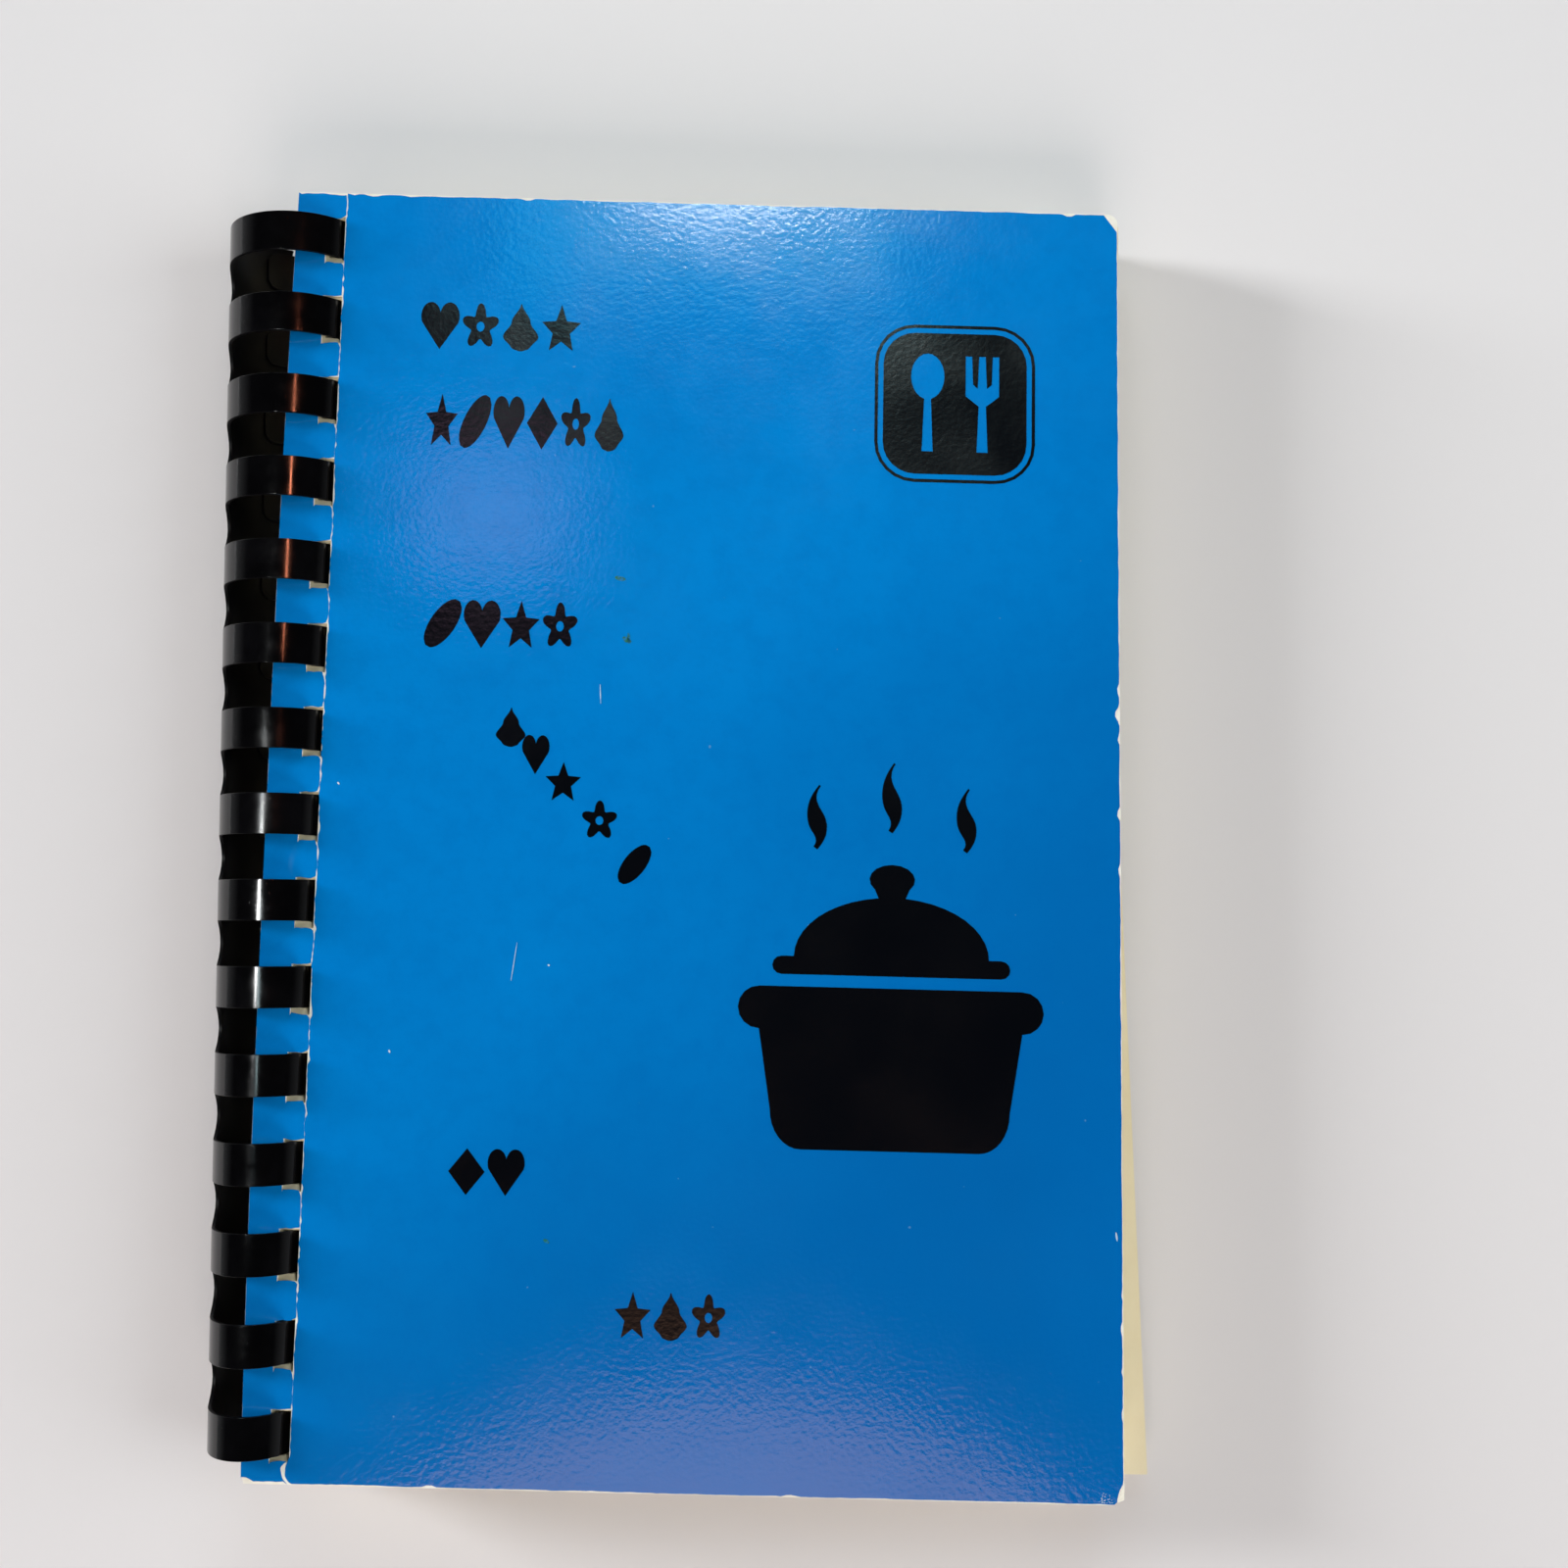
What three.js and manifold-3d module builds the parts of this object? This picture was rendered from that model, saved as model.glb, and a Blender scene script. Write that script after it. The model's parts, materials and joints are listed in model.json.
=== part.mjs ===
// A comb-bound book: two punched covers and a block of punched leaves on one moulded plastic comb.
// Millimetres, +X from the comb to the fore-edge, +Y from the tail to the head, +Z up.
// The book lies shut on its back cover. The origin is under the middle of its bounding box.

import * as THREE from "three";
import { mergeVertices } from "three/addons/utils/BufferGeometryUtils.js";
import Module from "manifold-3d";

const wasm = await Module();
wasm.setup();

// Sheet size and punch pattern
const SHEET_WIDTH = 139.7;
const SHEET_HEIGHT = 215.9;
const RING_COUNT = 15;
const RING_PITCH = 14.2875;
const HOLE_WIDTH = 3.2;
const HOLE_LENGTH = 8;
const HOLE_FROM_EDGE = 6.2;

// Comb: a spine strip and fingers that curl round and tuck their tips inside the strip.
// Angles are measured about the comb's axis, from +X towards +Z.
const COMB_RADIUS = 10;
const COMB_WALL = 0.6;
const FINGER_WIDTH = 6.8;
const FINGER_ROOT_WIDTH = 9.4;
const ROOT_SWEEP_DEG = 14;
const STRIP_START_DEG = 172;
const STRIP_END_DEG = 248;
const LEFT_DEG = 180;
const BOTTOM_DEG = -90;
const FINGER_END_DEG = -106;
const TIP_START_DEG = -111;
const TIP_END_DEG = -136;
const TIP_RADIUS = 9.3;
const TIP_WALL = 0.3;
const TIP_GAP_MIDDLE = 9.33;
const ARC_STEP_DEG = 12;
const CUTTER_STEP_DEG = 5;
const CUTTER_REACH = 1;

// Block
const COVER_THICKNESS = 0.4;
const COVER_HEIGHT = 6.8;
const LEAF_PACK_COUNT = 20;
const BLOCK_HALF_THICKNESS = 6.3;
const PACK_GAP = 0.2;
const YAW_LIMIT_DEG = 0.35;

const COVER_COLOR = 0x0073c8;
const PAPER_COLOR = 0xe4dcc0;
const COMB_COLOR = 0x0c0c0e;

const rad = THREE.MathUtils.degToRad;
const RING_MID_RADIUS = COMB_RADIUS - COMB_WALL / 2;
const COMB_LENGTH = (RING_COUNT - 1) * RING_PITCH + FINGER_WIDTH;

/** How far along a sheet's own plane the ring wall crosses it, at a height over the comb's axis. */
function holeX(height) {
  return Math.sqrt(RING_MID_RADIUS ** 2 - height ** 2);
}

/** The comb reaches lower than the back cover, so the block leans by this angle until its fore-edge touches down. */
function leanAngle() {
  const underside = COVER_HEIGHT + COVER_THICKNESS / 2;
  const foreEdge = holeX(COVER_HEIGHT) - HOLE_FROM_EDGE + SHEET_WIDTH;
  return Math.asin(COMB_RADIUS / Math.hypot(underside, foreEdge)) - Math.atan2(underside, foreEdge);
}

/** The place of one ring along the spine, counted from the head. */
function ringY(index) {
  return ((RING_COUNT - 1) / 2 - index) * RING_PITCH;
}

/** A solid for joining and cutting, from a closed three.js geometry. */
function toSolid(geometry) {
  const bare = geometry.index ? geometry.toNonIndexed() : geometry.clone();
  bare.deleteAttribute("normal");
  bare.deleteAttribute("uv");
  const merged = mergeVertices(bare, 1e-4);
  return new wasm.Manifold(new wasm.Mesh({
    numProp: 3,
    vertProperties: new Float32Array(merged.attributes.position.array),
    triVerts: new Uint32Array(merged.index.array),
  }));
}

/** A three.js geometry from a solid. */
function toGeometry(solid) {
  const mesh = solid.getMesh();
  const geometry = new THREE.BufferGeometry();
  geometry.setAttribute("position", new THREE.BufferAttribute(new Float32Array(mesh.vertProperties), 3));
  geometry.setIndex(new THREE.BufferAttribute(new Uint32Array(mesh.triVerts), 1));
  geometry.computeVertexNormals();
  return geometry;
}

/** A rectangle given by its middle and its sides, traced counter-clockwise. */
function rectangle(PathClass, x, y, width, height) {
  const path = new PathClass();
  path.moveTo(x - width / 2, y - height / 2);
  path.lineTo(x + width / 2, y - height / 2);
  path.lineTo(x + width / 2, y + height / 2);
  path.lineTo(x - width / 2, y + height / 2);
  path.closePath();
  return path;
}

/**
 * A punched sheet or pack of sheets, flat, with its middle layer at the given height over the comb's axis.
 * Its row of holes is centred on the comb's ring wall at that height, and yaw turns it about that row.
 */
function makePlate(name, thickness, height, yawDeg, color) {
  const outline = rectangle(THREE.Shape, SHEET_WIDTH / 2 - HOLE_FROM_EDGE, 0, SHEET_WIDTH, SHEET_HEIGHT);
  for (let ring = 0; ring < RING_COUNT; ring += 1) {
    outline.holes.push(rectangle(THREE.Path, 0, ringY(ring), HOLE_WIDTH, HOLE_LENGTH));
  }
  const geometry = new THREE.ExtrudeGeometry(outline, { depth: thickness, bevelEnabled: false });
  geometry.translate(0, 0, -thickness / 2);
  const material = new THREE.MeshStandardMaterial({ color, roughness: 0.6, metalness: 0 });
  const plate = new THREE.Mesh(geometry, material);
  plate.name = name;
  plate.position.set(holeX(height), 0, height);
  plate.rotation.z = rad(yawDeg);
  return plate;
}

/** A point of the comb's section, as a vector in its plane. */
function polar(radius, degrees) {
  return new THREE.Vector2(radius * Math.cos(rad(degrees)), radius * Math.sin(rad(degrees)));
}

/** Angles from start to end, evenly spaced by about the given step. */
function arcAngles(start, end, step = ARC_STEP_DEG) {
  const steps = Math.max(1, Math.round(Math.abs(end - start) / step));
  return Array.from({ length: steps + 1 }, (_, i) => start + ((end - start) * i) / steps);
}

/** The comb's section: from the strip's free edge, round the whole ring, to the tip tucked inside the strip. */
function combSection() {
  const stops = [STRIP_END_DEG, LEFT_DEG, STRIP_START_DEG, BOTTOM_DEG, FINGER_END_DEG];
  const full = [STRIP_END_DEG];
  for (let i = 1; i < stops.length; i += 1) {
    full.push(...arcAngles(stops[i - 1], stops[i]).slice(1));
  }
  const tip = arcAngles(TIP_START_DEG, TIP_END_DEG);
  const outer = [...full.map((a) => polar(COMB_RADIUS, a)), ...tip.map((a) => polar(TIP_RADIUS, a))];
  const inner = [
    ...full.map((a) => polar(COMB_RADIUS - COMB_WALL, a)),
    ...tip.map((a) => polar(TIP_RADIUS - TIP_WALL, a)),
  ];
  return new THREE.Shape([...outer, ...inner.reverse()]);
}

/** A block bent round an arc of the ring between two radii, with its width set along the arc. */
function makeCutter(startDeg, endDeg, innerRadius, outerRadius, widthAt) {
  const angles = arcAngles(startDeg, endDeg, CUTTER_STEP_DEG);
  const box = new THREE.BoxGeometry(outerRadius - innerRadius, 1, 1, 1, 1, angles.length - 1);
  const position = box.attributes.position;
  for (let i = 0; i < position.count; i += 1) {
    const along = Math.round((position.getZ(i) + 0.5) * (angles.length - 1));
    const radius = innerRadius + (position.getX(i) + 0.5 * (outerRadius - innerRadius));
    const angle = angles[along];
    const point = polar(radius, angle);
    position.setXYZ(i, point.x, position.getY(i) * widthAt(angle), point.y);
  }
  return toSolid(box);
}

/** The width of the slot between two fingers: narrow where the fingers flare into the strip. */
function slotWidth(angle) {
  const fromStrip = Math.min(1, (STRIP_START_DEG - angle) / ROOT_SWEEP_DEG);
  const fingerWidth = THREE.MathUtils.lerp(FINGER_ROOT_WIDTH, FINGER_WIDTH, Math.sqrt(1 - (1 - fromStrip) ** 2));
  return RING_PITCH - fingerWidth;
}

/** The moulded comb, with its axis along Y. */
function makeComb() {
  const bar = new THREE.ExtrudeGeometry(combSection(), { depth: COMB_LENGTH, bevelEnabled: false });
  bar.rotateX(Math.PI / 2);
  bar.translate(0, COMB_LENGTH / 2, 0);
  let comb = toSolid(bar);
  const cutterBottom = TIP_RADIUS - TIP_WALL - CUTTER_REACH;
  const ringCutter = makeCutter(
    TIP_START_DEG, STRIP_START_DEG, cutterBottom, COMB_RADIUS + CUTTER_REACH, slotWidth,
  );
  const tipCutter = makeCutter(
    TIP_END_DEG - CUTTER_STEP_DEG, FINGER_END_DEG, cutterBottom, TIP_GAP_MIDDLE, () => RING_PITCH - FINGER_WIDTH,
  );
  const slotCutter = ringCutter.add(tipCutter);
  for (let slot = 0; slot < RING_COUNT - 1; slot += 1) {
    comb = comb.subtract(slotCutter.translate([0, (ringY(slot) + ringY(slot + 1)) / 2, 0]));
  }
  const material = new THREE.MeshStandardMaterial({ color: COMB_COLOR, roughness: 0.25, metalness: 0 });
  const mesh = new THREE.Mesh(toGeometry(comb), material);
  mesh.name = "comb";
  return mesh;
}

/** Two covers and the leaf packs between them, all lying flat. The first pack lies under the front cover. */
function makeBlock() {
  const block = new THREE.Group();
  block.add(makePlate("front_cover", COVER_THICKNESS, COVER_HEIGHT, -YAW_LIMIT_DEG, COVER_COLOR));
  const packPitch = (2 * BLOCK_HALF_THICKNESS + PACK_GAP) / LEAF_PACK_COUNT;
  for (let pack = 0; pack < LEAF_PACK_COUNT; pack += 1) {
    const name = `leaf_pack_${String(pack + 1).padStart(2, "0")}`;
    const height = BLOCK_HALF_THICKNESS + PACK_GAP / 2 - (pack + 0.5) * packPitch;
    const yaw = THREE.MathUtils.lerp(-YAW_LIMIT_DEG, YAW_LIMIT_DEG, pack / (LEAF_PACK_COUNT - 1));
    block.add(makePlate(name, packPitch - PACK_GAP, height, yaw, PAPER_COLOR));
  }
  block.add(makePlate("back_cover", COVER_THICKNESS, -COVER_HEIGHT, 0, COVER_COLOR));
  block.rotation.y = leanAngle();
  return block;
}

const book = new THREE.Group();
book.add(makeComb());
book.add(makeBlock());

const bounds = new THREE.Box3().setFromObject(book, true);
const middle = bounds.getCenter(new THREE.Vector3());
book.position.set(-middle.x, -middle.y, -bounds.min.z);

export default book;
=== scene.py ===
import json
import math
import random

import bmesh
import bpy
from mathutils import Euler, Matrix, Vector, geometry, noise


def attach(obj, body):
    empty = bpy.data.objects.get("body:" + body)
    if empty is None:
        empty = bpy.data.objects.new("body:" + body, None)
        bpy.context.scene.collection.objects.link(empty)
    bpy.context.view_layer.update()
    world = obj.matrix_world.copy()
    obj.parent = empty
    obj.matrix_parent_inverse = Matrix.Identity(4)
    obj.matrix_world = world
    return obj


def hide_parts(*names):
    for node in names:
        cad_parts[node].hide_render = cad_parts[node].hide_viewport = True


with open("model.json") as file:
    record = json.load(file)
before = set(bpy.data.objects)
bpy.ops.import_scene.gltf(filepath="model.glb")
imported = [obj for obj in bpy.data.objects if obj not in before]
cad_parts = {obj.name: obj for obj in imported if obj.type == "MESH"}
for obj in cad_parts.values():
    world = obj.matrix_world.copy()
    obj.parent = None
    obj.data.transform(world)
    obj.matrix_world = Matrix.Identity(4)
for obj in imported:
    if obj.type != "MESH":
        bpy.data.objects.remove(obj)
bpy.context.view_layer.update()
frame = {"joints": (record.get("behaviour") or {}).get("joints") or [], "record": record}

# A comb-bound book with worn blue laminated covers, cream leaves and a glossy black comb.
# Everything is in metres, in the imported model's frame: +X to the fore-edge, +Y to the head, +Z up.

MM = 0.001

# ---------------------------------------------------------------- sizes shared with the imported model

SHEET_WIDTH = 139.7 * MM
SHEET_HEIGHT = 215.9 * MM
RING_COUNT = 15
RING_PITCH = 14.2875 * MM
COMB_RADIUS = 10 * MM
COMB_WALL = 0.6 * MM
FINGER_WIDTH = 6.8 * MM
STRIP_START_DEG = 172
STRIP_END_DEG = 248
FINGER_END_DEG = -106
TIP_START_DEG = -112
TIP_END_DEG = -136
TIP_RADIUS = 9.3 * MM
TIP_WALL = 0.3 * MM
COVER_THICKNESS = 0.4 * MM
COVER_HEIGHT = 6.8 * MM
PACK_COUNT = 20
BLOCK_HALF_THICKNESS = 6.3 * MM
PACK_GAP = 0.2 * MM

RING_MID_RADIUS = COMB_RADIUS - COMB_WALL / 2
COVER_TOP = COVER_HEIGHT + COVER_THICKNESS / 2

hinge = next(j for j in frame["joints"] if j["name"] == "front_cover_open")
AXIS = Vector(hinge["pos_m"])
back_face = frame["record"]["mounts"][0]["axis"]
LEAN = math.atan2(-back_face[0], -back_face[2])

# A used comb has spread at the head and closed up at the tail. These are its width halfway, as a share of the
# moulded width, and how much that share changes per metre along Y.
RING_SPREAD = 0.98
RING_TAPER = 2.02


def ring_y(index):
    """The place of one ring along the comb, counted from the head."""
    return ((RING_COUNT - 1) / 2 - index) * RING_PITCH


def ring_s(height):
    """How far from the comb's axis a sheet at this height meets the ring wall, halfway along the comb."""
    return math.sqrt(RING_MID_RADIUS**2 - height**2)


def block_point(s, y, h):
    """A point of the leaning block: s along its sheets from the comb's axis, h above the axis."""
    return Vector((
        AXIS.x + s * math.cos(LEAN) + h * math.sin(LEAN),
        y,
        AXIS.z - s * math.sin(LEAN) + h * math.cos(LEAN),
    ))


# ---------------------------------------------------------------- outlines

# How far apart two seeds' lines lie in the noise.
SEED_SPACING = 7.3

# A ragged edge mixes a short and a long wave: the length of each, and its share of the roughness.
SHORT_WAVE = 2.1 * MM
LONG_WAVE = 9 * MM
SHORT_SHARE = 0.6
LONG_SHARE = 0.9


def jitter(distance, wavelength, seed):
    """Smooth noise from -1 to 1 along a line."""
    return noise.noise(Vector((distance / wavelength, seed * SEED_SPACING, 0.5)))


def ragged(start, end, seed, step, inset, rough, bites=()):
    """Points from start towards end, without end, each pushed to the left of the way by inset and by noise.

    bites are worn nicks: (distance along the line, half width, depth).
    """
    start, end = Vector(start), Vector(end)
    length = (end - start).length
    along = (end - start) / length
    left = Vector((-along.y, along.x))
    count = max(1, round(length / step))
    points = []
    for i in range(count):
        d = length * i / count
        short = SHORT_SHARE * abs(jitter(d, SHORT_WAVE, seed))
        long = LONG_SHARE * abs(jitter(d, LONG_WAVE, seed + 3))
        push = inset + rough * (short + long)
        for place, half_width, depth in bites:
            push += depth * max(0, 1 - ((d - place) / half_width) ** 2)
        points.append(start + along * d + left * push)
    return points


def nick(place, half_width, depth):
    """A bite for ragged, given in millimetres."""
    return (place * MM, half_width * MM, depth * MM)


def arc_points(centre, radius, start_deg, end_deg, count):
    """Points on an arc, both ends included. radius is a number or a pair for an ellipse."""
    rx, ry = radius if isinstance(radius, tuple) else (radius, radius)
    angles = [math.radians(start_deg + (end_deg - start_deg) * i / count) for i in range(count + 1)]
    return [Vector((centre[0] + rx * math.cos(a), centre[1] + ry * math.sin(a))) for a in angles]


def rounded_box(x0, y0, x1, y1, radius):
    """A rectangle with round corners, counter-clockwise."""
    corners = [(x1 - radius, y0 + radius, -90), (x1 - radius, y1 - radius, 0),
               (x0 + radius, y1 - radius, 90), (x0 + radius, y0 + radius, 180)]
    return [p for x, y, a in corners for p in arc_points((x, y), radius, a, a + 90, 6)]


def stroke(path, widths):
    """A closed outline round a path, with a width at each point."""
    left, right = [], []
    for i, point in enumerate(path):
        before, after = path[max(i - 1, 0)], path[min(i + 1, len(path) - 1)]
        along = (after - before).normalized()
        side = Vector((-along.y, along.x)) * widths[i] / 2
        left.append(point + side)
        right.append(point - side)
    return right + left[::-1]


def bezier(*points, count):
    """Points on a chain of cubic curves that share their end points."""
    out = []
    for i in range(0, len(points) - 1, 3):
        p = [Vector(q) for q in points[i:i + 4]]
        for k in range(count):
            t = k / count
            u = 1 - t
            out.append(p[0] * u**3 + p[1] * 3 * u * u * t + p[2] * 3 * u * t * t + p[3] * t**3)
    return out + [Vector(points[-1])]


# ---------------------------------------------------------------- mesh builders

# Settings of the triangulation: it keeps what lies inside the loops, and joins points within the tolerance.
KEEP_INSIDE = 1
TOLERANCE = 1e-7


def new_object(name, bm, material):
    mesh = bpy.data.meshes.new(name)
    bmesh.ops.recalc_face_normals(bm, faces=bm.faces)
    bm.to_mesh(mesh)
    bm.free()
    mesh.materials.append(material)
    obj = bpy.data.objects.new(name, mesh)
    bpy.context.scene.collection.objects.link(obj)
    return obj


def add_plate(bm, outline, holes, low, high, place):
    """Adds a closed flat plate to bm: an outline with holes, between two levels.

    Loops run counter-clockwise. place(u, v, level) gives the point in the world.
    """
    loops, points = [], []
    for loop in [outline, *holes]:
        loops.append(list(range(len(points), len(points) + len(loop))))
        points += [Vector(p) for p in loop]
    flat, _, faces, _, _, origins = geometry.delaunay_2d_cdt(points, [], loops, KEEP_INSIDE, TOLERANCE)
    solid = [face for face, origin in zip(faces, origins) if list(origin) == [0]]
    used = sorted({i for face in solid for i in face})
    top = {i: bm.verts.new(place(flat[i].x, flat[i].y, high)) for i in used}
    bottom = {i: bm.verts.new(place(flat[i].x, flat[i].y, low)) for i in used}
    sides = set()
    for face in solid:
        bm.faces.new([top[i] for i in face])
        bm.faces.new([bottom[i] for i in reversed(face)])
        sides.update(zip(face, face[1:] + face[:1]))
    for a, b in sides:
        if (b, a) not in sides:
            bm.faces.new([top[b], top[a], bottom[a], bottom[b]])


def plate_object(name, plates, material):
    """One object from several plates, each a tuple of add_plate's arguments."""
    bm = bmesh.new()
    for plate in plates:
        add_plate(bm, *plate)
    return new_object(name, bm, material)


# ---------------------------------------------------------------- materials

class Shader:
    """A node material with one Principled shader, and short ways to add nodes."""

    def __init__(self, name, **values):
        self.material = bpy.data.materials.new(name)
        self.material.use_nodes = True
        self.tree = self.material.node_tree
        self.surface = self.tree.nodes["Principled BSDF"]
        self.coordinates = self.tree.nodes.new("ShaderNodeTexCoord").outputs["Object"]
        for key, value in values.items():
            self.surface.inputs[key.replace("_", " ")].default_value = value

    def node(self, kind, **inputs):
        made = self.tree.nodes.new(kind)
        for key, value in inputs.items():
            self.set(made.inputs[key], value)
        return made

    def set(self, socket, value):
        if isinstance(value, bpy.types.NodeSocket):
            self.tree.links.new(value, socket)
        else:
            socket.default_value = value

    def to(self, key, value):
        self.set(self.surface.inputs[key], value)

    def difference(self, a, b):
        made = self.tree.nodes.new("ShaderNodeMath")
        made.operation = "SUBTRACT"
        self.set(made.inputs[0], a)
        self.set(made.inputs[1], b)
        return made.outputs[0]

    def noise(self, scale, detail, roughness=0.5, vector=None):
        return self.node(
            "ShaderNodeTexNoise", Vector=vector or self.coordinates, Scale=scale, Detail=detail,
            Roughness=roughness,
        ).outputs["Fac"]

    def ramp(self, value, low, high, out_low=0.0, out_high=1.0):
        made = self.node("ShaderNodeMapRange", Value=value)
        made.interpolation_type = "SMOOTHSTEP"
        for key, number in (("From Min", low), ("From Max", high), ("To Min", out_low), ("To Max", out_high)):
            made.inputs[key].default_value = number
        return made.outputs["Result"]

    def mix(self, factor, a, b):
        made = self.node("ShaderNodeMix")
        made.data_type = "RGBA"
        self.set(made.inputs["Factor"], factor)
        self.set(made.inputs["A"], a)
        self.set(made.inputs["B"], b)
        return made.outputs["Result"]

    def stretched(self, x, y, z):
        return self.node("ShaderNodeMapping", Vector=self.coordinates, Scale=(x, y, z)).outputs["Vector"]

    def bump(self, height, distance, strength, normal=None):
        made = self.node("ShaderNodeBump", Height=height, Distance=distance, Strength=strength)
        if normal:
            self.set(made.inputs["Normal"], normal)
        return made.outputs["Normal"]


def color(red, green, blue):
    """Linear colour from the usual 0 to 255 values."""
    def linear(c):
        c /= 255
        return c / 12.92 if c <= 0.04045 else ((c + 0.055) / 1.055) ** 2.4
    return (linear(red), linear(green), linear(blue), 1.0)


def pebbled(shader):
    """The orange-peel grain of the gloss film, with finer grit in it."""
    grain = shader.noise(1150, detail=1.5, roughness=0.45)
    grit = shader.noise(4200, detail=1.0)
    coarse = shader.bump(grain, 0.045 * MM, 0.5)
    return shader.bump(grit, 0.006 * MM, 0.5, coarse)


# The film's blue is painted lighter at its head and spine and deeper at the opposite corner, a painted sheen.
# These are the values of X - Y where the turn from one to the other starts and ends.
PAINTED_SHEEN_SPAN = (-40 * MM, 115 * MM)


def cover_film_material():
    s = Shader("cover_film", IOR=1.5)
    place = s.node("ShaderNodeSeparateXYZ", Vector=s.coordinates).outputs
    # Painted sheen: the blue is lighter towards the spine and head and deeper towards the far corner.
    sheen_falloff = s.ramp(s.difference(place["X"], place["Y"]), *PAINTED_SHEEN_SPAN)
    cloud = s.ramp(s.noise(16, detail=3, roughness=0.6), 0.3, 0.72)
    pale = s.mix(cloud, color(0, 125, 206), color(0, 133, 215))
    deep = s.mix(cloud, color(0, 97, 172), color(0, 103, 180))
    fine = s.noise(240, detail=3, roughness=0.7)
    tone = s.mix(s.ramp(fine, 0.35, 0.75, 0.0, 0.2), s.mix(sheen_falloff, pale, deep), color(0, 98, 176))
    smear = s.noise(1, detail=4, roughness=0.75, vector=s.stretched(90, 26, 90))
    tone = s.mix(s.ramp(smear, 0.7, 0.82, 0.0, 0.16), tone, color(96, 150, 200))
    specks = s.ramp(s.noise(900, detail=0.5), 0.84, 0.88, 0.0, 0.5)
    s.to("Base Color", s.mix(specks, tone, color(110, 160, 200)))
    s.to("Roughness", s.ramp(s.noise(45, detail=4, roughness=0.65), 0.3, 0.75, 0.08, 0.14))
    s.to("Normal", pebbled(s))
    return s.material


def ink_material():
    s = Shader("ink_black", IOR=1.5)
    worn = s.ramp(s.noise(900, detail=3, roughness=0.7), 0.72, 0.8, 0.0, 0.5)
    s.to("Base Color", s.mix(worn, color(4, 6, 11), color(20, 38, 70)))
    s.to("Roughness", s.ramp(s.noise(60, detail=3), 0.3, 0.7, 0.14, 0.22))
    s.to("Normal", pebbled(s))
    return s.material


def card_material():
    s = Shader("cover_card", IOR=1.45, Specular_IOR_Level=0.1)
    fibre = s.noise(1, detail=3, roughness=0.7, vector=s.stretched(900, 2600, 2600))
    tone = s.mix(s.ramp(s.noise(300, detail=3), 0.3, 0.7), color(243, 243, 237), color(232, 229, 214))
    s.to("Base Color", s.mix(s.ramp(fibre, 0.35, 0.7, 0.0, 0.35), tone, color(243, 243, 236)))
    s.to("Roughness", s.ramp(s.noise(500, detail=2), 0.3, 0.7, 0.75, 0.9))
    s.to("Normal", s.bump(fibre, 0.03 * MM, 0.6))
    return s.material


def paper_material():
    s = Shader("leaf_paper", IOR=1.45)
    mottle = s.noise(38, detail=4, roughness=0.6)
    fibre = s.noise(1, detail=4, roughness=0.7, vector=s.stretched(1500, 700, 1500))
    tone = s.mix(s.ramp(mottle, 0.3, 0.7), color(240, 232, 202), color(234, 223, 189))
    layer = s.noise(1, detail=2, roughness=0.6, vector=s.stretched(8, 8, 5200))
    tone = s.mix(s.ramp(layer, 0.3, 0.75, 0.0, 0.3), tone, color(190, 172, 130))
    s.to("Base Color", s.mix(s.ramp(fibre, 0.4, 0.75, 0.0, 0.3), tone, color(236, 228, 198)))
    s.to("Roughness", s.ramp(mottle, 0.3, 0.7, 0.8, 0.9))
    s.to("Normal", s.bump(fibre, 0.02 * MM, 0.5))
    return s.material


def comb_material():
    s = Shader("comb_plastic", IOR=1.5)
    scratch = s.noise(1, detail=3, roughness=0.7, vector=s.stretched(420, 5200, 420))
    haze = s.noise(90, detail=3, roughness=0.6)
    s.to("Base Color", s.mix(s.ramp(haze, 0.4, 0.75), color(3, 3, 4), color(8, 8, 10)))
    s.to("Roughness", s.ramp(s.noise(130, detail=4, roughness=0.7), 0.3, 0.75, 0.08, 0.2))
    dust = s.ramp(s.noise(2600, detail=1), 0.7, 0.78)
    fine = s.bump(scratch, 0.004 * MM, 0.6)
    s.to("Normal", s.bump(dust, 0.02 * MM, 0.4, fine))
    return s.material


def comb_inside_material():
    s = Shader("comb_inside", IOR=1.5, Specular_IOR_Level=0.12)
    haze = s.ramp(s.noise(120, detail=3), 0.35, 0.7)
    s.to("Base Color", s.mix(haze, color(5, 5, 7), color(10, 11, 13)))
    s.to("Roughness", s.ramp(s.noise(160, detail=3), 0.3, 0.7, 0.35, 0.5))
    return s.material


def scuff_material():
    s = Shader("film_scuff", Roughness=0.5)
    patches = s.ramp(s.noise(700, detail=2), 0.35, 0.65)
    s.to("Base Color", s.mix(patches, color(150, 190, 222), color(226, 230, 228)))
    return s.material


def stain_material():
    s = Shader("film_stain", Roughness=0.4)
    patches = s.ramp(s.noise(2200, detail=2), 0.4, 0.6)
    s.to("Base Color", s.mix(patches, color(0, 112, 170), color(18, 104, 84)))
    return s.material


def floor_material():
    s = Shader("floor", IOR=1.4, Roughness=0.6)
    cloud = s.ramp(s.noise(1.2, detail=2), 0.3, 0.7)
    s.to("Base Color", s.mix(cloud, color(226, 226, 228), color(220, 220, 223)))
    return s.material


FILM = cover_film_material()
INK = ink_material()
CARD = card_material()
PAPER = paper_material()
COMB = comb_material()
COMB_INSIDE = comb_inside_material()
SCUFF = scuff_material()
STAIN = stain_material()


# ---------------------------------------------------------------- comb

def spread(y):
    """How wide the used comb is at this place, as a share of its moulded width."""
    return RING_SPREAD + RING_TAPER * y


def comb_point(angle_deg, y, radius):
    """A point of the spread comb: angle from +X towards +Z about its axis."""
    a = math.radians(angle_deg)
    return Vector((AXIS.x + radius * math.cos(a) * spread(y), y, AXIS.z + radius * math.sin(a)))


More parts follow.
